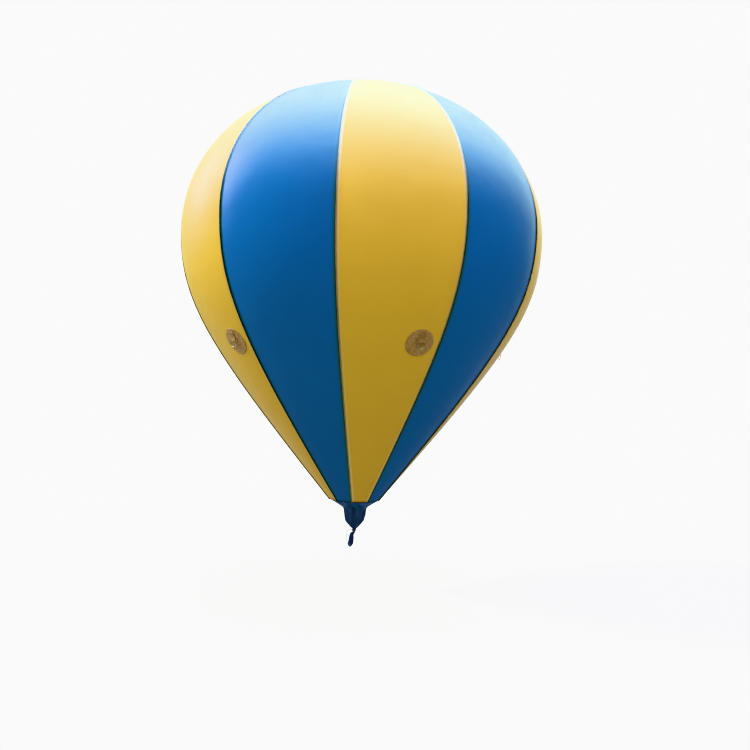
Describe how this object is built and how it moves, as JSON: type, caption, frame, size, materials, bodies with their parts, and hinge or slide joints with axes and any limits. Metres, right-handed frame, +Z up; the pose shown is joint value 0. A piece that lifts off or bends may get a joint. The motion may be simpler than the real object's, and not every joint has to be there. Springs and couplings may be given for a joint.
{
  "type": "inflatable ground balloon",
  "caption": "Teardrop tethered balloon of yellow and blue welded gores, with a tied filling neck below and hinged D-rings on round patches for its guy lines.",
  "frame": {"origin": "on the balloon's upright axis at the level of its widest ring, where the air carries it", "axes": "+Z up the axis to the crown; -Y out of the middle of the first yellow gore; +X to the right of someone who faces that gore"},
  "size_m": [2.9778, 3.0062, 3.8396],
  "materials": {
    "yellow_film": "satin coated film",
    "blue_film": "satin coated film",
    "seam_film": "welded overlap of two films",
    "neck_film": "satin film, gathered",
    "patch_film": "welded reinforcing film",
    "webbing": "woven webbing",
    "tie_cord": "twisted cord",
    "steel": "welded round wire"
  },
  "bodies": {
    "envelope": {"gore_yellow_1": "yellow_film", "gore_yellow_2": "yellow_film", "gore_yellow_3": "yellow_film", "gore_yellow_4": "yellow_film", "gore_yellow_5": "yellow_film", "gore_blue_1": "blue_film", "gore_blue_2": "blue_film", "gore_blue_3": "blue_film", "gore_blue_4": "blue_film", "gore_blue_5": "blue_film", "seam_strip_01": "seam_film", "seam_strip_02": "seam_film", "seam_strip_03": "seam_film", "seam_strip_04": "seam_film", "seam_strip_05": "seam_film", "seam_strip_06": "seam_film", "seam_strip_07": "seam_film", "seam_strip_08": "seam_film", "seam_strip_09": "seam_film", "seam_strip_10": "seam_film", "crown_patch": "blue_film", "mouth_collar": "neck_film", "neck_sleeve": "neck_film", "neck_tail": "neck_film", "neck_tie": "tie_cord", "neck_cord_end": "tie_cord", "tether_patch_1": "patch_film", "tether_patch_2": "patch_film", "tether_patch_3": "patch_film", "tether_patch_4": "patch_film", "tether_patch_5": "patch_film", "webbing_tab_1": "webbing", "webbing_tab_2": "webbing", "webbing_tab_3": "webbing", "webbing_tab_4": "webbing", "webbing_tab_5": "webbing"},
    "ring_1": {"d_ring_1": "steel"},
    "ring_2": {"d_ring_2": "steel"},
    "ring_3": {"d_ring_3": "steel"},
    "ring_4": {"d_ring_4": "steel"},
    "ring_5": {"d_ring_5": "steel"}
  },
  "joints": [
    {"name": "ring_1_hinge", "type": "hinge", "parent": "envelope", "child": "ring_1", "pos_m": [0.21037, -1.19032, -0.9256], "axis": [-0.9774, -0.2116, 0], "range_deg": [-28, 120]},
    {"name": "ring_2_hinge", "type": "hinge", "parent": "envelope", "child": "ring_2", "pos_m": [1.19707, -0.16776, -0.9256], "axis": [-0.1008, -0.9949, 0], "range_deg": [-28, 120]},
    {"name": "ring_3_hinge", "type": "hinge", "parent": "envelope", "child": "ring_3", "pos_m": [0.52946, 1.08664, -0.9256], "axis": [0.9151, -0.4033, 0], "range_deg": [-28, 120]},
    {"name": "ring_4_hinge", "type": "hinge", "parent": "envelope", "child": "ring_4", "pos_m": [-0.86984, 0.83934, -0.9256], "axis": [0.6663, 0.7457, 0], "range_deg": [-28, 120]},
    {"name": "ring_5_hinge", "type": "hinge", "parent": "envelope", "child": "ring_5", "pos_m": [-1.06705, -0.5679, -0.9256], "axis": [-0.5033, 0.8641, 0], "range_deg": [-28, 120]}
  ]
}
